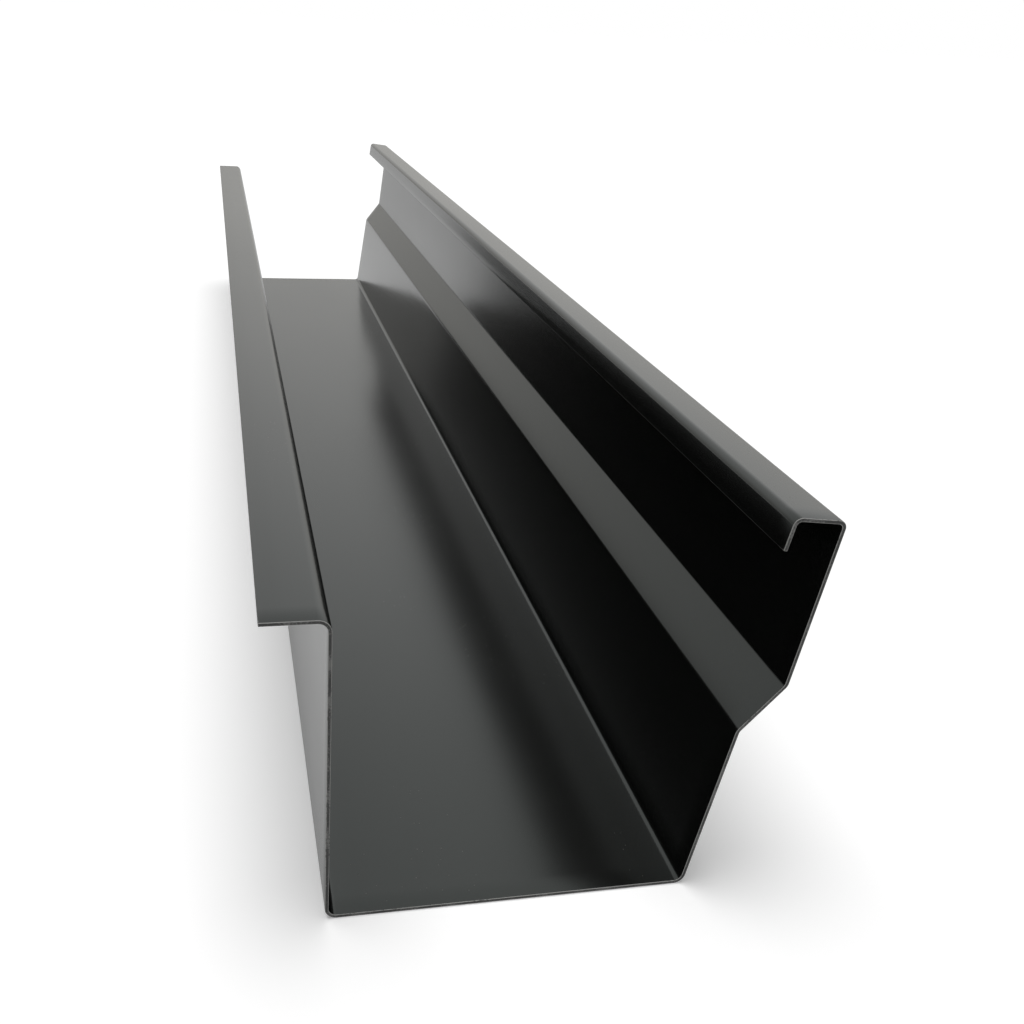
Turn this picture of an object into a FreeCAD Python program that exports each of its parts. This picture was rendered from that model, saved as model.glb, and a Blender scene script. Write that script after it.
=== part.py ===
"""Folded sheet-steel eaves gutter: one length, square cut at both ends.

One strip of coated sheet is folded seven times along its length. Seen from the near end the
flats run: back flange, back wall, sole, lower front, joggle, upper front, top return, lip.
Frame: X from the back wall to the front, Y along the gutter, Z up, all in millimetres. The
origin lies under the middle of the sole, at the section's mid width and mid length.
"""

import FreeCAD, Part
import math
import os

import Sketcher

Vector = FreeCAD.Vector
OUT_DIR = "parts"

# The driving dimensions. Flats are measured on the water side, between sharp corners.
SIZES = {
    "gutter_length": 1100.0,
    "sheet_thickness": 1.5,
    "bend_radius": 3.5,  # inside radius of the five folds of the trough
    "hook_radius": 2.0,  # inside radius of the two tighter folds round the front hook
    "back_flange_width": 25.0,
    "back_wall_height": 137.5,
    "sole_width": 150.0,
    "lower_front_run": 10.0,
    "lower_front_rise": 77.5,
    "joggle_run": 16.0,
    "joggle_rise": 20.5,
    "upper_front_run": 7.0,
    "upper_front_rise": 69.0,
    "return_width": 18.5,
    "lip_depth": 12.0,
    "lip_angle": 92.0,  # between the return and the lip, in degrees
}


def make_sheet(doc):
    """Write the driving dimensions into an aliased spreadsheet."""
    sheet = doc.addObject("Spreadsheet::Sheet", "sizes")
    for row, (alias, value) in enumerate(SIZES.items(), start=1):
        sheet.set(f"A{row}", alias)
        sheet.set(f"B{row}", str(value))
        sheet.setAlias(f"B{row}", alias)
    doc.recompute()
    return sheet


# The tooling of each fold, from the back flange's to the lip's.
FOLDS = ["bend_radius"] * 5 + ["hook_radius"] * 2


class FoldedStrip:
    """The closed outline of a folded strip: two parallel faces, tangent folds and two cut ends.

    The first face carries the dimensions. The second lies one sheet thickness to its right,
    going from the first flat to the last, and each fold's two arcs share one centre.
    """

    def __init__(self, sketch, corners):
        self.sketch = sketch
        self.corners = corners
        self.thickness = SIZES["sheet_thickness"]
        self.unit = [(b - a).normalize() for a, b in zip(corners[:-1], corners[1:])]
        self.turn = [
            math.atan2(a.cross(b).z, a.dot(b)) for a, b in zip(self.unit[:-1], self.unit[1:])
        ]
        self.lines = {}
        self.arcs = {}
        self.points = []

    def is_inside(self, fold, side):
        """Whether a fold turns towards the first (0) or second (1) face."""
        return (self.turn[fold] > 0) == (side == 0)

    def fold_radius(self, fold, side):
        """Radius of a fold on the first (0) or second (1) face."""
        inside = SIZES[FOLDS[fold]]
        return inside if self.is_inside(fold, side) else inside + self.thickness

    def fold_centre(self, fold):
        """Both arcs of a fold turn about this point."""
        before, after = self.unit[fold], self.unit[fold + 1]
        half = before.getAngle(after) / 2
        to_centre = (after - before).normalize()
        reach = self.fold_radius(fold, 0) / math.cos(half)
        return self.corners[fold + 1] + to_centre * reach

    def fold_ends(self, fold, side):
        """The two points where a fold's arc meets its flats."""
        centre = self.fold_centre(fold)
        ends = []
        for unit in (self.unit[fold], self.unit[fold + 1]):
            right = Vector(unit.y, -unit.x, 0)
            outward = right if self.turn[fold] > 0 else right * -1
            ends.append(centre + outward * self.fold_radius(fold, side))
        return ends

    def draw(self):
        """Add the lines and arcs of both faces, the cut ends and the sharp corner points."""
        folds = range(len(self.turn))
        for side in (0, 1):
            shift = [Vector(u.y, -u.x, 0) * (self.thickness * side) for u in self.unit]
            ends = [self.fold_ends(fold, side) for fold in folds]
            starts = [self.corners[0] + shift[0]] + [pair[1] for pair in ends]
            stops = [pair[0] for pair in ends] + [self.corners[-1] + shift[-1]]
            for flat, (start, stop) in enumerate(zip(starts, stops)):
                self.lines[side, flat] = self.sketch.addGeometry(Part.LineSegment(start, stop))
            for fold in folds:
                self.arcs[side, fold] = self.add_arc(fold, side, *ends[fold])
        self.caps = [
            self.sketch.addGeometry(
                Part.LineSegment(self.line_end(0, flat, end), self.line_end(1, flat, end))
            )
            for flat, end in ((0, 1), (len(self.unit) - 1, 2))
        ]
        self.points = [
            self.sketch.addGeometry(Part.Point(corner), True) for corner in self.corners[1:-1]
        ]

    def add_arc(self, fold, side, start, stop):
        """Add one fold arc, which the sketcher keeps anticlockwise."""
        centre = self.fold_centre(fold)
        if self.turn[fold] < 0:
            start, stop = stop, start
        angles = [math.atan2(p.y - centre.y, p.x - centre.x) for p in (start, stop)]
        circle = Part.Circle(centre, Vector(0, 0, 1), self.fold_radius(fold, side))
        return self.sketch.addGeometry(Part.ArcOfCircle(circle, *angles))

    def line_end(self, side, flat, end):
        return self.sketch.getPoint(self.lines[side, flat], end)

    def constrain(self):
        """Tie the two faces together: tangent folds, shared centres and square cut ends."""
        add = self.sketch.addConstraint
        for side in (0, 1):
            for fold, turn in enumerate(self.turn):
                arc = self.arcs[side, fold]
                first, last = (1, 2) if turn > 0 else (2, 1)
                add(Sketcher.Constraint("Tangent", self.lines[side, fold], 2, arc, first))
                add(Sketcher.Constraint("Tangent", self.lines[side, fold + 1], 1, arc, last))
                index = add(Sketcher.Constraint("Radius", arc, self.fold_radius(fold, side)))
                radius = f"<<sizes>>.{FOLDS[fold]}"
                if not self.is_inside(fold, side):
                    radius += " + <<sizes>>.sheet_thickness"
                self.sketch.setExpression(f"Constraints[{index}]", radius)
        for fold, point in enumerate(self.points):
            add(Sketcher.Constraint("Coincident", self.arcs[0, fold], 3, self.arcs[1, fold], 3))
            add(Sketcher.Constraint("PointOnObject", point, 1, self.lines[0, fold]))
            add(Sketcher.Constraint("PointOnObject", point, 1, self.lines[0, fold + 1]))
        for cap, flat, end in zip(self.caps, (0, len(self.unit) - 1), (1, 2)):
            add(Sketcher.Constraint("Coincident", cap, 1, self.lines[0, flat], end))
            add(Sketcher.Constraint("Coincident", cap, 2, self.lines[1, flat], end))
            add(Sketcher.Constraint("Perpendicular", cap, self.lines[0, flat]))
            add(Sketcher.Constraint("Perpendicular", cap, self.lines[1, flat]))

    def dimension(self, kind, name, places, value, expression):
        """Add one named dimension and bind it to the sheet."""
        index = self.sketch.addConstraint(Sketcher.Constraint(kind, *places, value))
        self.sketch.renameConstraint(index, name)
        self.sketch.setExpression(f"Constraints.{name}", expression)


def profile_corners():
    """Sharp corners of the water side, from the back flange's edge to the lip's edge.

    The sketch's own origin is the corner between the back wall and the sole.
    """
    size = SIZES
    upper = Vector(size["upper_front_run"], size["upper_front_rise"], 0).normalize()
    back = Vector(0, size["back_wall_height"], 0)
    corners = [back - Vector(size["back_flange_width"], 0, 0), back, Vector(0, 0, 0)]
    steps = [
        Vector(size["sole_width"], 0, 0),
        Vector(size["lower_front_run"], size["lower_front_rise"], 0),
        Vector(size["joggle_run"], size["joggle_rise"], 0),
        Vector(size["upper_front_run"], size["upper_front_rise"], 0),
        Vector(-upper.y, upper.x, 0) * size["return_width"],
    ]
    for step in steps:
        corners.append(corners[-1] + step)
    along = math.atan2(upper.x, -upper.y) + math.pi - math.radians(size["lip_angle"])
    lip = Vector(math.cos(along), math.sin(along), 0) * size["lip_depth"]
    corners.append(corners[-1] + lip)
    return corners


def draw_profile(body):
    """Sketch the folded section on the body's XZ plane, every dimension bound to the sheet."""
    plane = next(f for f in body.Origin.OriginFeatures if f.Role == "XZ_Plane")
    sketch = body.newObject("Sketcher::SketchObject", "section_profile")
    sketch.AttachmentSupport = (plane, [""])
    sketch.MapMode = "FlatFace"
    strip = FoldedStrip(sketch, profile_corners())
    strip.draw()
    strip.constrain()
    flat = [strip.lines[0, i] for i in range(len(strip.unit))]
    corner = [(point, 1) for point in strip.points]
    sketch.addConstraint(Sketcher.Constraint("Horizontal", flat[0]))
    sketch.addConstraint(Sketcher.Constraint("Vertical", flat[1]))
    sketch.addConstraint(Sketcher.Constraint("Horizontal", flat[2]))
    sketch.addConstraint(Sketcher.Constraint("Perpendicular", flat[6], flat[5]))
    sketch.addConstraint(Sketcher.Constraint("Coincident", *corner[1], -1, 1))

    def bind(kind, name, places):
        strip.dimension(kind, name, places, SIZES[name], f"<<sizes>>.{name}")

    bind("DistanceX", "back_flange_width", (flat[0], 1, *corner[0]))
    bind("DistanceY", "back_wall_height", (*corner[1], *corner[0]))
    bind("DistanceX", "sole_width", (*corner[1], *corner[2]))
    for name, low, high in (("lower_front", 2, 3), ("joggle", 3, 4), ("upper_front", 4, 5)):
        bind("DistanceX", f"{name}_run", (*corner[low], *corner[high]))
        bind("DistanceY", f"{name}_rise", (*corner[low], *corner[high]))
    bind("Distance", "return_width", (*corner[5], *corner[6]))
    bind("Distance", "lip_depth", (*corner[6], flat[7], 2))
    lip_angle = math.radians(SIZES["lip_angle"])
    strip.dimension(
        "Angle", "lip_angle", (flat[7], 1, flat[6], 2), lip_angle, "<<sizes>>.lip_angle * 1 deg"
    )
    return sketch


def make_gutter(doc):
    """Pad the folded section to the gutter's length."""
    body = doc.addObject("PartDesign::Body", "gutter_section")
    body.Label = "gutter_section"
    profile = draw_profile(body)
    pad = body.newObject("PartDesign::Pad", "section_length")
    pad.Profile = profile
    pad.setExpression("Length", "<<sizes>>.gutter_length")
    pad.Midplane = True
    body.Tip = pad
    body.setExpression("Placement.Base.x", "-<<sizes>>.sole_width / 2")
    body.setExpression("Placement.Base.z", "<<sizes>>.sheet_thickness")
    doc.recompute()
    return body


def check(doc, bodies):
    """Stop on any failed object, a loose sketch or a broken solid."""
    for item in doc.Objects:
        if "Invalid" in item.State or "Error" in item.State:
            raise RuntimeError(f"{item.Label} failed: {item.State}")
        if item.isDerivedFrom("Sketcher::SketchObject") and not item.FullyConstrained:
            raise RuntimeError(f"{item.Label} isn't fully constrained")
    for body in bodies:
        if body.Shape.isNull() or not body.Shape.isValid() or len(body.Shape.Solids) != 1:
            raise RuntimeError(f"{body.Label} has no single valid solid")


def main():
    doc = FreeCAD.newDocument("gutter")
    make_sheet(doc)
    bodies = [make_gutter(doc)]
    check(doc, bodies)
    os.makedirs(OUT_DIR, exist_ok=True)
    for body in bodies:
        body.Shape.exportStep(os.path.join(OUT_DIR, f"{body.Label}.step"))
        box = body.Shape.BoundBox
        print(f"{body.Label}: {box.XLength:.2f} x {box.YLength:.2f} x {box.ZLength:.2f} mm,"
              f" {body.Shape.Volume / 1000:.2f} cm3, lowest z {box.ZMin:.4f}")


main()
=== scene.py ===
"""Looks of one folded sheet-steel gutter length: the swept sheet, its coating and its cut edges.

Metres, in the part's own frame: X from the back wall to the front, Y along the gutter, Z up.
"""

import math

import bpy
from mathutils import Euler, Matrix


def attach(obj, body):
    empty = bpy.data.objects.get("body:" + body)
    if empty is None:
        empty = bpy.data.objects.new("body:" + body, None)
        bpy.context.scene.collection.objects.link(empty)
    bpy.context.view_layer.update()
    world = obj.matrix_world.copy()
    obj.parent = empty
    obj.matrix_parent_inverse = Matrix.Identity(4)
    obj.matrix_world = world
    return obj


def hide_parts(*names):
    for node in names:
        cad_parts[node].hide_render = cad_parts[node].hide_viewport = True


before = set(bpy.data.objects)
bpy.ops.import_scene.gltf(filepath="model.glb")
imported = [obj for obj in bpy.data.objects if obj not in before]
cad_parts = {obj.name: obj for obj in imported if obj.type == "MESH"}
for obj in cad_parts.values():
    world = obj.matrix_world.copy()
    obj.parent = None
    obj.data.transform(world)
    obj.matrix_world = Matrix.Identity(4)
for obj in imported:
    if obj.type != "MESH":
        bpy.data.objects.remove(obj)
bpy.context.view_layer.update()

MM = 0.001

# The folded strip, measured on its water side between sharp corners, in millimetres.
STRIP = {
    "Gutter Length": 1100.0,
    "Sheet Thickness": 1.5,
    "Fold Radius": 3.5,
    "Hook Radius": 2.0,
    "Back Flange": 25.0,
    "Back Height": 137.5,
    "Sole Width": 150.0,
    "Lower Front Run": 10.0,
    "Lower Front Rise": 77.5,
    "Joggle Run": 16.0,
    "Joggle Rise": 20.5,
    "Upper Front Run": 7.0,
    "Upper Front Rise": 69.0,
    "Return Width": 18.5,
    "Lip Depth": 12.0,
}
LIP_ANGLE = math.radians(92.0)  # between the return and the lip

# Folds are numbered along the strip, from 1 at the back flange to 7 at the lip.
FLANGE_FOLD = 1.0
JOGGLE_FOOT = 4.0
BEFORE_HOOK = 5.5  # folds numbered above this are the hook's
NUMBER_SLACK = 0.1  # how near two fold numbers count as the same
FOLD_STEPS = 7  # short straights round each fold

STATION = 10.0  # millimetres between points of the mesh along the gutter and over the flats
WAVE_DEPTH = 0.25  # how far a flat bellies out of true, in millimetres
WAVE_PITCH = (9.0, 4.0, 9.0)  # waves to the metre, longer along the gutter
WAVE_SEED = 4.0
ARRIS = 0.22  # width rubbed off each cut's corner, in millimetres
CUT_CORNER = math.radians(50.0)  # corners sharper than this are cuts, with an arris
SHARP_CORNER = math.radians(35.0)  # corners sharper than this shade as edges

# The finishes. Colours are linear. A pair runs from one end of the slow cloudiness to the other.
CLOUD_SPAN = (0.3, 0.7)  # the part of the cloudiness that changes the roughness
LINE_STRETCH = (1.0, 0.012, 1.0)  # draw lines are long along the coil
CLOUD_STRETCH = (1.0, 0.45, 1.0)
LINE_SHARE = 0.35  # height of the draw lines beside the peel's
PAINT = ((0.0022, 0.0024, 0.0023, 1.0), (0.0042, 0.0044, 0.0041, 1.0))
PAINT_ROUGHNESS = (0.185, 0.215)
PAINT_RELIEF = (0.2, 0.00001)  # strength, then depth in metres
PAINT_IOR = 1.5
PAINT_SHEEN_TINT = (0.92, 1.0, 0.965, 1.0)  # the faint green of the coating seen square on
WORN_PAINT = (0.16, 0.16, 0.155, 1.0)
WORN_ROUGHER = 0.2
DUST = (0.32, 0.31, 0.29, 1.0)
DUST_ROUGHER = 1.5
CUT_STEEL = ((0.026, 0.0265, 0.026, 1.0), (0.056, 0.057, 0.055, 1.0))
CUT_STEEL_BARE = (0.15, 0.15, 0.146, 1.0)
CUT_STEEL_ROUGHNESS = (0.45, 0.6)
CUT_STEEL_RELIEF = (0.5, 0.00005)
CUT_STEEL_IOR = 1.35
BURR = ((0.008, 0.008, 0.008, 1.0), (0.05, 0.05, 0.049, 1.0))
BURR_BARE = (0.3, 0.3, 0.29, 1.0)
BURR_ROUGHNESS = (0.4, 0.55)  # from painted to bare
BURR_RELIEF = (0.6, 0.00006)
SLIT_ARRIS = (0.003, 0.0032, 0.0031, 1.0)  # the long edges keep their paint
END_SPAN = (0.05, 0.35)  # share of facing along the gutter, from a long edge to an end cut
LONG_EDGE_WEAR = 0.1  # wear of the long edges beside the end cuts'

# Rubbed edges: a patchy run along the cut and a fine grain add up, and where they pass a bar the
# coating is off. The bar is lower close to a cut.
RUN_SCALE = 0.08  # scale of the run beside the grain's
RUN_SHARE = 0.6
GRAIN_SHARE = 0.7
UNWORN_BAR = 1.05
WEAR_EDGE = 0.14  # how gradually the coating gives way past the bar

# Settled dust.
SPECK_RIM = (0.04, 0.09)  # a speck's radius, from its full part to its end
PATCH_SCALE = 11.0  # specks lie in patches
PATCH_SPAN = (0.5, 0.75)
FILM_SCALE = 30.0
DUST_SLOPE = (0.3, 0.9)  # share of facing up, from bare to dusty

# The floor and the light.
FLOOR_SIZE = 60.0  # metres
FLOOR_COLOUR = (0.85, 0.85, 0.85, 1.0)
FLOOR_ROUGHNESS = 0.9
FLOOR_LIFT = 0.24  # what the eye sees of the floor beyond its light
PAINTED_FLOOR_GLOW = 0.12  # a painted glow on the floor near the gutter, seen only in the coating's reflections; it stands in for the light falling off away from the gutter
PAINTED_GLOW_FADE = (0.7, 1.5)  # metres from the gutter's middle over which that painted glow fades out
WHITE = (1.0, 1.0, 1.0, 1.0)
ROOM_FILL = 0.25  # share of the matt light that comes from all round, the rest from overhead
LAMP_SPREAD = math.radians(40.0)
LAMP_TILT = (math.radians(-10.0), math.radians(-4.0), 0.0)  # from behind and a little from the left
ROOM_LOW = 0.66  # how bright the coating mirrors the room at the horizon
ROOM_HIGH = 1.26  # and from part of the way up to overhead
ROOM_RISE = (0.0, 0.52)  # upward share of a direction over which it brightens
ROOM_LEFT = 0.93  # times this on the left
ROOM_RIGHT = 1.14  # and this on the right
ROOM_SIDES = (-0.1, 0.48)  # rightward share of a direction over which it brightens
ROOM_HAZE = (1.0, 0.985, 0.94, 1.0)  # the low part of the room, a little warmer than the rest
HAZE_TOP = 0.5  # upward share of a direction where the warmth ends
DEEP_MIRROR = 0.1  # what is left of the room at the last of the mirrorings below
MIRRORINGS = (1.0, 4.0)  # from a first mirroring, undimmed, to a fourth inside the trough

# The camera.
EYE_PLACE = (-0.10896, -0.85274, 0.32233)
EYE_TURN = (62.2801, -3.1927, -10.6802)  # degrees
EYE_LENS = 36.7947  # millimetres, on a film of the width below
EYE_FILM = 36.0
EYE_SHIFT = (0.08008, 0.04883)  # shares of the film's width


# ---------------------------------------------------------------- node helpers


def new_node(tree, kind, settings=None, **inputs):
    """Add a node, set its options, and link or set its inputs by socket name."""
    node = tree.nodes.new(kind)
    for name, value in (settings or {}).items():
        setattr(node, name, value)
    for name, value in inputs.items():
        put(tree, node.inputs[name.replace("_", " ")], value)
    return node


def put(tree, socket, value):
    """Link an output to a socket, or set the socket's own value."""
    if isinstance(value, bpy.types.NodeSocket):
        tree.links.new(value, socket)
    else:
        socket.default_value = value


def maths(tree, operation, *values):
    """One Math node on up to three values."""
    node = tree.nodes.new("ShaderNodeMath")
    node.operation = operation
    for socket, value in zip(node.inputs, values):
        put(tree, socket, value)
    return node.outputs[0]


def xyz(tree, x, y, z):
    """A vector from its three parts."""
    return new_node(tree, "ShaderNodeCombineXYZ", X=x, Y=y, Z=z).outputs[0]


# ------------------------------------------------------------- the folded sheet


def section_corners(tree, size):
    """Sharp corners of the water side as vectors in the XZ plane, from flange edge to lip edge."""
    half = maths(tree, "MULTIPLY", size["Sole Width"], -0.5)
    floor = size["Sheet Thickness"]
    top = maths(tree, "ADD", size["Back Height"], floor)
    x = [maths(tree, "SUBTRACT", half, size["Back Flange"]), half, half]
    z = [top, top, floor]
    for run, rise in (
        (size["Sole Width"], 0.0),
        (size["Lower Front Run"], size["Lower Front Rise"]),
        (size["Joggle Run"], size["Joggle Rise"]),
        (size["Upper Front Run"], size["Upper Front Rise"]),
    ):
        x.append(maths(tree, "ADD", x[-1], run))
        z.append(maths(tree, "ADD", z[-1], rise))
    lean = maths(tree, "ARCTAN2", size["Upper Front Run"], size["Upper Front Rise"])
    back = maths(tree, "SUBTRACT", math.pi, lean)
    down = maths(tree, "SUBTRACT", maths(tree, "ADD", back, math.pi), size["Lip Angle"])
    for angle, reach in ((back, size["Return Width"]), (down, size["Lip Depth"])):
        for axis, way in ((x, "COSINE"), (z, "SINE")):
            step = maths(tree, "MULTIPLY", maths(tree, way, angle), reach)
            axis.append(maths(tree, "ADD", axis[-1], step))
    return [xyz(tree, a, 0.0, b) for a, b in zip(x, z)]


def fold_radii(tree, size, index):
    """Water-side radius of each fold: the hook's are tighter, and two folds turn the other way."""
    hook = maths(tree, "GREATER_THAN", index, BEFORE_HOOK)
    tighter = maths(tree, "SUBTRACT", size["Hook Radius"], size["Fold Radius"])
    inside = maths(tree, "MULTIPLY_ADD", hook, tighter, size["Fold Radius"])
    flange = maths(tree, "COMPARE", index, FLANGE_FOLD, NUMBER_SLACK)
    joggle_foot = maths(tree, "COMPARE", index, JOGGLE_FOOT, NUMBER_SLACK)
    away = maths(tree, "ADD", flange, joggle_foot)
    return maths(tree, "MULTIPLY_ADD", away, size["Sheet Thickness"], inside)


def folded_section(tree, size):
    """The section as a curve with rounded folds, and extra points along its flats."""
    corners = section_corners(tree, size)
    index = tree.nodes.new("GeometryNodeInputIndex").outputs[0]
    pick = tree.nodes.new("GeometryNodeIndexSwitch")
    pick.data_type = "VECTOR"
    while len(pick.index_switch_items) < len(corners):
        pick.index_switch_items.new()
    tree.links.new(index, pick.inputs["Index"])
    for number, corner in enumerate(corners):
        tree.links.new(corner, pick.inputs[number + 1])
    line = new_node(tree, "GeometryNodeMeshLine", Count=len(corners)).outputs[0]
    placed = new_node(
        tree, "GeometryNodeSetPosition", Geometry=line, Position=pick.outputs[0]
    ).outputs[0]
    curve = new_node(tree, "GeometryNodeMeshToCurve", Mesh=placed).outputs[0]
    fold = new_node(tree, "GeometryNodeFilletCurve", Curve=curve)
    fold.mode = "POLY"
    put(tree, fold.inputs["Count"], FOLD_STEPS)
    put(tree, fold.inputs["Radius"], fold_radii(tree, size, index))
    return divide_flats(tree, fold.outputs[0], size, index)


def divide_flats(tree, curve, size, index):
    """Cut only the long runs between folds, so that the flats can belly."""
    here = tree.nodes.new("GeometryNodeInputPosition").outputs[0]
    after = maths(tree, "ADD", index, 1.0)
    ahead = new_node(tree, "GeometryNodeFieldAtIndex", {"data_type": "FLOAT_VECTOR"}, Index=after)
    put(tree, ahead.inputs["Value"], here)
    gap = new_node(tree, "ShaderNodeVectorMath", {"operation": "DISTANCE"})
    put(tree, gap.inputs[0], here)
    put(tree, gap.inputs[1], ahead.outputs[0])
    cuts = maths(tree, "FLOOR", maths(tree, "DIVIDE", gap.outputs["Value"], size["Station"]))
    return new_node(tree, "GeometryNodeSubdivideCurve", Curve=curve, Cuts=cuts).outputs[0]


def swept_sheet(tree, section, size):
    """Carry the section along the gutter as a grid, one row of points to each station."""
    count = new_node(tree, "GeometryNodeAttributeDomainSize", {"component": "CURVE"}, Geometry=section)
    across = count.outputs["Point Count"]
    bays = maths(tree, "ROUND", maths(tree, "DIVIDE", size["Gutter Length"], size["Station"]))
    rows = maths(tree, "ADD", bays, 1.0)
    grid = new_node(tree, "GeometryNodeMeshGrid", Vertices_X=across, Vertices_Y=rows)
    index = tree.nodes.new("GeometryNodeInputIndex").outputs[0]
    column = maths(tree, "FLOOR", maths(tree, "DIVIDE", maths(tree, "ADD", index, 0.5), rows))
    row = maths(tree, "SUBTRACT", index, maths(tree, "MULTIPLY", column, rows))
    point = new_node(
        tree, "GeometryNodeSampleIndex", {"data_type": "FLOAT_VECTOR", "domain": "POINT"},
        Geometry=section, Index=column,
    )
    put(tree, point.inputs["Value"], tree.nodes.new("GeometryNodeInputPosition").outputs[0])
    part = new_node(tree, "ShaderNodeSeparateXYZ")
    put(tree, part.inputs[0], point.outputs[0])
    share = maths(tree, "DIVIDE", row, bays)
    along = maths(tree, "MULTIPLY", maths(tree, "SUBTRACT", share, 0.5), size["Gutter Length"])
    spot = xyz(tree, part.outputs["X"], along, part.outputs["Z"])
    placed = new_node(
        tree, "GeometryNodeSetPosition", Geometry=grid.outputs["Mesh"], Position=spot
    ).outputs[0]
    return mark_cuts(tree, placed, section, column, along, size)


def mark_cuts(tree, sheet, section, column, along, size):
    """Keep each point's distance to the nearest cut edge, for the finishes to read."""
    girth = new_node(
        tree, "GeometryNodeSampleIndex", {"data_type": "FLOAT", "domain": "POINT"},
        Geometry=section, Index=column,
    )
    put(tree, girth.inputs["Value"], tree.nodes.new("GeometryNodeSplineParameter").outputs["Length"])
    whole = new_node(tree, "GeometryNodeCurveLength", Curve=section).outputs[0]
    side = maths(tree, "MINIMUM", girth.outputs[0], maths(tree, "SUBTRACT", whole, girth.outputs[0]))
    half = maths(tree, "MULTIPLY", size["Gutter Length"], 0.5)
    end = maths(tree, "SUBTRACT", half, maths(tree, "ABSOLUTE", along))
    return new_node(
        tree, "GeometryNodeStoreNamedAttribute", {"data_type": "FLOAT", "domain": "POINT"},
        Geometry=sheet, Name="from_cut", Value=maths(tree, "MINIMUM", side, end),
    ).outputs[0]


def belly_flats(tree, sheet, size):
    """Let the flats wander slightly towards the water, as folded sheet does."""
    where = new_node(tree, "ShaderNodeVectorMath", {"operation": "MULTIPLY"})
    put(tree, where.inputs[0], tree.nodes.new("GeometryNodeInputPosition").outputs[0])
    where.inputs[1].default_value = WAVE_PITCH
    waves = new_node(
        tree, "ShaderNodeTexNoise", {"noise_dimensions": "4D"}, Vector=where.outputs[0],
        W=size["Seed"], Scale=1.0, Detail=1.0,
    )
    depth = maths(tree, "MULTIPLY", waves.outputs[0], size["Wave Depth"])
    normal = tree.nodes.new("GeometryNodeInputNormal").outputs[0]
    push = new_node(tree, "ShaderNodeVectorMath", {"operation": "SCALE"}, Scale=depth)
    put(tree, push.inputs[0], normal)
    return new_node(
        tree, "GeometryNodeSetPosition", Geometry=sheet, Offset=push.outputs[0]
    ).outputs[0]


def folded_sheet_tree(material):
    """The rule of the piece: fold the section, sweep it, belly its flats, give it its coating."""
    tree = bpy.data.node_groups.new("folded_sheet", "GeometryNodeTree")
    face = tree.interface
    face.new_socket("Geometry", in_out="OUTPUT", socket_type="NodeSocketGeometry")
    names = [*STRIP, "Lip Angle", "Wave Depth", "Station", "Seed"]
    for name in names:
        face.new_socket(name, in_out="INPUT", socket_type="NodeSocketFloat")
    inputs = tree.nodes.new("NodeGroupInput")
    size = {name: inputs.outputs[name] for name in names}
    sheet = swept_sheet(tree, folded_section(tree, size), size)
    sheet = belly_flats(tree, sheet, size)
    real = new_node(tree, "GeometryNodeRealizeInstances", Geometry=sheet).outputs[0]
    coat = new_node(tree, "GeometryNodeSetMaterial", Geometry=real, Material=material).outputs[0]
    end = tree.nodes.new("NodeGroupOutput")
    tree.links.new(coat, end.inputs[0])
    return tree


def plain_copy(holder):
    """The finished mesh of an object, with every modifier worked in."""
    graph = bpy.context.evaluated_depsgraph_get()
    return bpy.data.meshes.new_from_object(holder.evaluated_get(graph))


def water_side(coating):
    """The gutter's water side as a plain mesh, swept by the rule at its real sizes."""
    tree = folded_sheet_tree(coating)
    holder = bpy.data.objects.new("folded_gutter", bpy.data.meshes.new("folded_gutter"))
    bpy.context.scene.collection.objects.link(holder)
    rule = holder.modifiers.new("fold", "NODES")
    rule.node_group = tree
    values = {name: value * MM for name, value in STRIP.items()}
    values |= {
        "Lip Angle": LIP_ANGLE,
        "Wave Depth": WAVE_DEPTH * MM,
        "Station": STATION * MM,
        "Seed": WAVE_SEED,
    }
    for item in tree.interface.items_tree:
        if item.in_out == "INPUT":
            rule[item.identifier] = values[item.name]
    mesh = plain_copy(holder)
    bpy.data.objects.remove(holder)
    return mesh


def fold_sheet(coating, cut_face, burr):
    """Build the gutter: the swept water side, its thickness, its cut faces and their arrises."""
    mesh = water_side(coating)
    sheet = bpy.data.objects.new("folded_gutter", mesh)
    bpy.context.scene.collection.objects.link(sheet)
    mesh.materials.clear()
    for material in (coating, cut_face, burr):
        mesh.materials.append(material)
    thick = sheet.modifiers.new("thickness", "SOLIDIFY")
    thick.thickness = STRIP["Sheet Thickness"] * MM
    thick.offset = -1.0
    thick.use_even_offset = True
    thick.material_offset_rim = 1
    arris = sheet.modifiers.new("arris", "BEVEL")
    arris.width = ARRIS * MM
    arris.segments = 2
    arris.limit_method = "ANGLE"
    arris.angle_limit = CUT_CORNER
    arris.material = 2
    solid = plain_copy(sheet)
    sheet.modifiers.clear()
    sheet.data = solid
    for polygon in solid.polygons:
        polygon.use_smooth = True
    solid.set_sharp_from_angle(angle=SHARP_CORNER)
    return sheet


# -------------------------------------------------------------- shared effects


def effect_group(name, inputs, outputs):
    """An empty shader node group with named sockets, its inputs' start values, and its two ends."""
    tree = bpy.data.node_groups.new(name, "ShaderNodeTree")
    for label, start in inputs.items():
        kind = "NodeSocketVector" if isinstance(start, tuple) else "NodeSocketFloat"
        socket = tree.interface.new_socket(label, in_out="INPUT", socket_type=kind)
        socket.default_value = start
    for label, kind in outputs.items():
        tree.interface.new_socket(label, in_out="OUTPUT", socket_type=kind)
    return tree, tree.nodes.new("NodeGroupInput").outputs, tree.nodes.new("NodeGroupOutput").inputs


def use_group(tree, group, **inputs):
    """Place a shared effect in a material with its own values."""
    node = tree.nodes.new("ShaderNodeGroup")
    node.node_tree = group
    for label, value in inputs.items():
        put(tree, node.inputs[label.replace("_", " ")], value)
    return node.outputs


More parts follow.
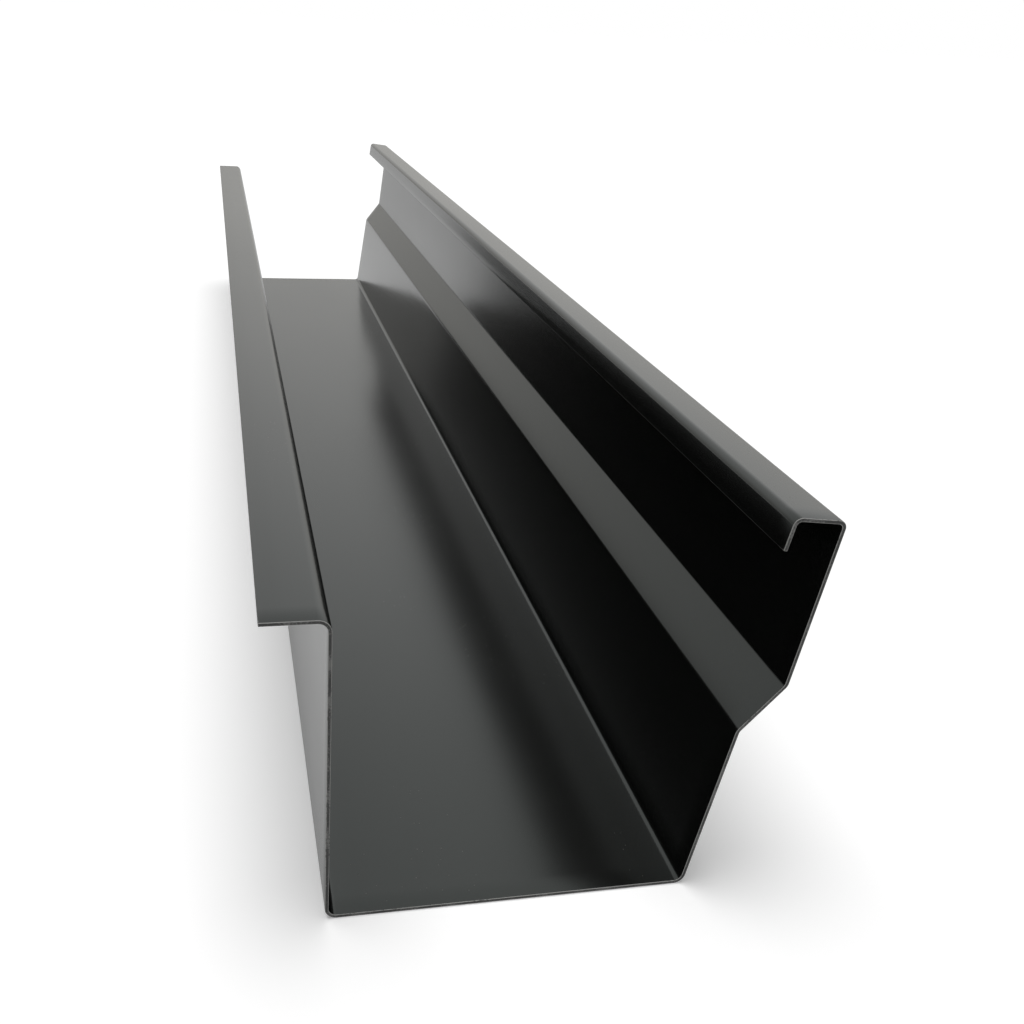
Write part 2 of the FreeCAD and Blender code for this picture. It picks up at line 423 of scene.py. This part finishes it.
def noise(tree, where, scale, detail=2.0, roughness=0.5):
    """Value noise from 0 to 1."""
    return new_node(
        tree, "ShaderNodeTexNoise", Vector=where, Scale=scale, Detail=detail, Roughness=roughness
    ).outputs[0]


def stretched(tree, where, stretch):
    """Squeeze or draw out a pattern along the axes."""
    node = new_node(tree, "ShaderNodeVectorMath", {"operation": "MULTIPLY"})
    put(tree, node.inputs[0], where)
    put(tree, node.inputs[1], stretch)
    return node.outputs[0]


def ramp(tree, value, low, high, start=0.0, stop=1.0):
    """Map a value's range to another, held at its ends and eased between."""
    node = new_node(tree, "ShaderNodeMapRange", {"interpolation_type": "SMOOTHSTEP"})
    for socket, number in zip(node.inputs, (value, low, high, start, stop)):
        put(tree, socket, number)
    return node.outputs[0]


def coil_coat_group():
    """Roller-coated paint: fine peel, faint draw lines along the coil, and slow cloudiness."""
    tree, given, out = effect_group(
        "coil_coat",
        {"Where": (0.0, 0.0, 0.0), "Peel Scale": 900.0, "Line Scale": 260.0, "Cloud Scale": 7.0},
        {"Height": "NodeSocketFloat", "Cloud": "NodeSocketFloat", "Lines": "NodeSocketFloat"},
    )
    where = given["Where"]
    peel = noise(tree, where, given["Peel Scale"], 3.0, 0.55)
    lines = noise(tree, stretched(tree, where, LINE_STRETCH), given["Line Scale"], 4.0, 0.6)
    cloud = noise(tree, stretched(tree, where, CLOUD_STRETCH), given["Cloud Scale"], 3.0, 0.55)
    put(tree, out["Height"], maths(tree, "MULTIPLY_ADD", lines, LINE_SHARE, peel))
    put(tree, out["Cloud"], cloud)
    put(tree, out["Lines"], lines)
    return tree


def edge_wear_group():
    """Where the coating is rubbed or chipped off near a cut: broken along it, none further in."""
    tree, given, out = effect_group(
        "edge_wear",
        {"Where": (0.0, 0.0, 0.0), "Distance": 1.0, "Reach": 0.0004, "Grain Scale": 700.0, "Amount": 0.5},
        {"Wear": "NodeSocketFloat"},
    )
    near = ramp(tree, given["Distance"], 0.0, given["Reach"], 1.0, 0.0)
    grain = noise(tree, given["Where"], given["Grain Scale"], 3.0, 0.6)
    run = noise(tree, given["Where"], maths(tree, "MULTIPLY", given["Grain Scale"], RUN_SCALE), 1.0)
    level = maths(tree, "MULTIPLY_ADD", run, RUN_SHARE, maths(tree, "MULTIPLY", grain, GRAIN_SHARE))
    bar = maths(tree, "SUBTRACT", UNWORN_BAR, maths(tree, "MULTIPLY", near, given["Amount"]))
    put(tree, out["Wear"], ramp(tree, level, bar, maths(tree, "ADD", bar, WEAR_EDGE)))
    return tree


def dust_group():
    """A thin settled dust and a few specks, only on what faces up."""
    tree, given, out = effect_group(
        "settled_dust",
        {"Where": (0.0, 0.0, 0.0), "Up": 1.0, "Film": 0.01, "Speck Scale": 260.0, "Specks": 0.3},
        {"Dust": "NodeSocketFloat"},
    )
    speck = new_node(
        tree, "ShaderNodeTexVoronoi", {"feature": "F1"}, Vector=given["Where"], Scale=given["Speck Scale"]
    ).outputs["Distance"]
    spot = maths(tree, "MULTIPLY", ramp(tree, speck, *SPECK_RIM, 1.0, 0.0), given["Specks"])
    patch = ramp(tree, noise(tree, given["Where"], PATCH_SCALE, 2.0), *PATCH_SPAN)
    film = maths(tree, "MULTIPLY", noise(tree, given["Where"], FILM_SCALE, 5.0, 0.7), given["Film"])
    total = maths(tree, "MULTIPLY_ADD", spot, patch, film)
    put(tree, out["Dust"], maths(tree, "MULTIPLY", total, ramp(tree, given["Up"], *DUST_SLOPE)))
    return tree


# ------------------------------------------------------------------- finishes


def plain_material(name):
    """A new material with its shader."""
    material = bpy.data.materials.new(name)
    material.use_nodes = True
    return material, material.node_tree, material.node_tree.nodes["Principled BSDF"].inputs


def mixed(tree, share, low, high):
    """Blend two colours, or a colour and a colour output, by a share."""
    node = tree.nodes.new("ShaderNodeMix")
    node.data_type = "RGBA"
    sockets = {socket.identifier: socket for socket in (*node.inputs, *node.outputs)}
    put(tree, sockets["Factor_Float"], share)
    put(tree, sockets["A_Color"], low)
    put(tree, sockets["B_Color"], high)
    return sockets["Result_Color"]


def here(tree):
    """Object coordinates of the surface."""
    return tree.nodes.new("ShaderNodeTexCoord").outputs["Object"]


def facing(tree, axis):
    """How much the surface faces along X, Y or Z."""
    part = tree.nodes.new("ShaderNodeSeparateXYZ")
    put(tree, part.inputs[0], tree.nodes.new("ShaderNodeNewGeometry").outputs["Normal"])
    return part.outputs[axis]


def facing_end(tree):
    """One on the arrises of the two end cuts, little on those of the strip's long edges."""
    return ramp(tree, maths(tree, "ABSOLUTE", facing(tree, "Y")), *END_SPAN, LONG_EDGE_WEAR, 1.0)


def from_cut(tree):
    """Distance to the nearest cut edge of the strip, kept on the mesh."""
    return new_node(tree, "ShaderNodeAttribute", {"attribute_name": "from_cut"}).outputs["Fac"]


def bump(tree, height, strength, depth):
    """A normal raised by a height pattern, depth in metres."""
    node = new_node(tree, "ShaderNodeBump", Strength=strength, Distance=depth, Height=height)
    return node.outputs[0]


def satin_black_coating(effects):
    """The coil coating on both faces: near-black satin, smooth, with hardly any texture."""
    material, tree, shader = plain_material("satin_black_coating")
    where = here(tree)
    coat = use_group(tree, effects["coat"], Where=where)
    wear = use_group(tree, effects["wear"], Where=where, Distance=from_cut(tree), Amount=0.5)
    dust = use_group(tree, effects["dust"], Where=where, Up=facing(tree, "Z"))
    paint = mixed(tree, coat["Cloud"], *PAINT)
    dusty = mixed(tree, dust["Dust"], paint, DUST)
    put(tree, shader["Base Color"], mixed(tree, wear["Wear"], dusty, WORN_PAINT))
    rough = ramp(tree, coat["Cloud"], *CLOUD_SPAN, *PAINT_ROUGHNESS)
    rough = maths(tree, "MULTIPLY_ADD", dust["Dust"], DUST_ROUGHER, rough)
    put(tree, shader["Roughness"], maths(tree, "MULTIPLY_ADD", wear["Wear"], WORN_ROUGHER, rough))
    put(tree, shader["Normal"], bump(tree, coat["Height"], *PAINT_RELIEF))
    shader["IOR"].default_value = PAINT_IOR
    shader["Specular Tint"].default_value = PAINT_SHEEN_TINT
    return material


def sheared_face(effects):
    """The cut through the sheet: dull grey, drawn by the blade and smeared with coating."""
    material, tree, shader = plain_material("sheared_face")
    where = here(tree)
    grain = use_group(tree, effects["coat"], Where=where, Peel_Scale=2600.0, Cloud_Scale=60.0)
    wear = use_group(
        tree, effects["wear"], Where=where, Distance=0.0, Grain_Scale=1300.0, Amount=0.42
    )
    dull = mixed(tree, grain["Cloud"], *CUT_STEEL)
    put(tree, shader["Base Color"], mixed(tree, wear["Wear"], dull, CUT_STEEL_BARE))
    put(tree, shader["Roughness"], ramp(tree, grain["Cloud"], *CLOUD_SPAN, *CUT_STEEL_ROUGHNESS))
    shader["IOR"].default_value = CUT_STEEL_IOR
    put(tree, shader["Normal"], bump(tree, grain["Height"], *CUT_STEEL_RELIEF))
    return material


def rubbed_burr(effects):
    """The fine arris of each cut, its coating rubbed thin in a broken line."""
    material, tree, shader = plain_material("rubbed_burr")
    where = here(tree)
    grain = use_group(tree, effects["coat"], Where=where, Peel_Scale=1800.0, Cloud_Scale=25.0)
    wear = use_group(
        tree, effects["wear"], Where=where, Distance=0.0, Grain_Scale=520.0, Amount=0.6
    )
    end = facing_end(tree)
    thin = mixed(tree, grain["Cloud"], *BURR)
    thin = mixed(tree, end, SLIT_ARRIS, thin)
    rubbed = maths(tree, "MULTIPLY", wear["Wear"], end)
    put(tree, shader["Base Color"], mixed(tree, rubbed, thin, BURR_BARE))
    put(tree, shader["Roughness"], ramp(tree, wear["Wear"], 0.0, 1.0, *BURR_ROUGHNESS))
    put(tree, shader["Normal"], bump(tree, grain["Height"], *BURR_RELIEF))
    return material


# --------------------------------------------------------- floor, light, camera


def studio_floor():
    """A level pale floor out to the horizon, white to the eye away from the gutter, with a painted glow
    near the gutter that only reflections in the coating show.
    """
    bpy.ops.mesh.primitive_plane_add(size=FLOOR_SIZE, location=(0.0, 0.0, 0.0))
    floor = bpy.context.object
    floor.name = "studio_floor"
    material, tree, shader = plain_material("pale_floor_painted_glow")
    shader["Base Color"].default_value = FLOOR_COLOUR
    shader["Roughness"].default_value = FLOOR_ROUGHNESS
    shader["Specular IOR Level"].default_value = 0.0
    path = tree.nodes.new("ShaderNodeLightPath").outputs
    away = new_node(tree, "ShaderNodeVectorMath", {"operation": "LENGTH"})
    put(tree, away.inputs[0], here(tree))
    # painted glow: near the gutter the floor shines for mirrored rays alone, standing in for light that
    # falls off with distance
    painted_glow_near = ramp(tree, away.outputs["Value"], *PAINTED_GLOW_FADE, PAINTED_FLOOR_GLOW, 0.0)
    seen = maths(tree, "MULTIPLY", path["Is Glossy Ray"], painted_glow_near)
    straight = maths(tree, "ADD", path["Is Camera Ray"], path["Is Transmission Ray"])
    seen = maths(tree, "MULTIPLY_ADD", straight, FLOOR_LIFT, seen)
    shader["Emission Color"].default_value = WHITE
    put(tree, shader["Emission Strength"], seen)
    floor.data.materials.append(material)


def soft_light():
    """A white room and a lamp overhead.

    The coating mirrors the room brighter above and to the right and warmer low down, and dimmer
    with each further mirroring.
    """
    world = bpy.data.worlds.new("soft_white_room")
    bpy.context.scene.world = world
    world.use_nodes = True
    tree = world.node_tree
    back = tree.nodes["Background"].inputs
    way = tree.nodes.new("ShaderNodeSeparateXYZ")
    put(tree, way.inputs[0], tree.nodes.new("ShaderNodeTexCoord").outputs["Generated"])
    height = ramp(tree, way.outputs["Z"], *ROOM_RISE, ROOM_LOW, ROOM_HIGH)
    side = ramp(tree, way.outputs["X"], *ROOM_SIDES, ROOM_LEFT, ROOM_RIGHT)
    path = tree.nodes.new("ShaderNodeLightPath").outputs
    again = ramp(tree, path["Glossy Depth"], *MIRRORINGS, 1.0, DEEP_MIRROR)
    mirrored = maths(tree, "MULTIPLY", maths(tree, "MULTIPLY", height, side), again)
    low = ramp(tree, way.outputs["Z"], 0.0, HAZE_TOP, 1.0, 0.0)
    haze = maths(tree, "MULTIPLY", low, path["Is Glossy Ray"])
    put(tree, back["Color"], mixed(tree, haze, WHITE, ROOM_HAZE))
    straight = maths(tree, "ADD", path["Is Camera Ray"], path["Is Transmission Ray"])
    strength = maths(tree, "MULTIPLY_ADD", path["Is Diffuse Ray"], ROOM_FILL, straight)
    strength = maths(tree, "MULTIPLY_ADD", path["Is Glossy Ray"], mirrored, strength)
    put(tree, back["Strength"], strength)
    lamp = bpy.data.lights.new("overhead_softbox", "SUN")
    lamp.energy = (1.0 - ROOM_FILL) * math.pi
    lamp.angle = LAMP_SPREAD
    holder = bpy.data.objects.new("overhead_softbox", lamp)
    holder.visible_glossy = False
    holder.rotation_euler = LAMP_TILT
    bpy.context.scene.collection.objects.link(holder)


def eye():
    """The camera: low over the near end, looking down the trough."""
    data = bpy.data.cameras.new("eye")
    camera = bpy.data.objects.new("eye", data)
    bpy.context.scene.collection.objects.link(camera)
    camera.location = EYE_PLACE
    camera.rotation_euler = Euler([math.radians(angle) for angle in EYE_TURN])
    data.sensor_width = EYE_FILM
    data.lens = EYE_LENS
    data.shift_x, data.shift_y = EYE_SHIFT
    data.clip_start = 0.01
    data.clip_end = 100.0
    bpy.context.scene.camera = camera


def main():
    """Build the looks, tie them to the CAD piece, and set the floor, light and camera."""
    eye()
    effects = {"coat": coil_coat_group(), "wear": edge_wear_group(), "dust": dust_group()}
    sheet = fold_sheet(
        satin_black_coating(effects), sheared_face(effects), rubbed_burr(effects)
    )
    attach(sheet, "root")
    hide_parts("gutter_section")
    studio_floor()
    soft_light()
    scene = bpy.context.scene
    scene.view_settings.view_transform = "Standard"


main()
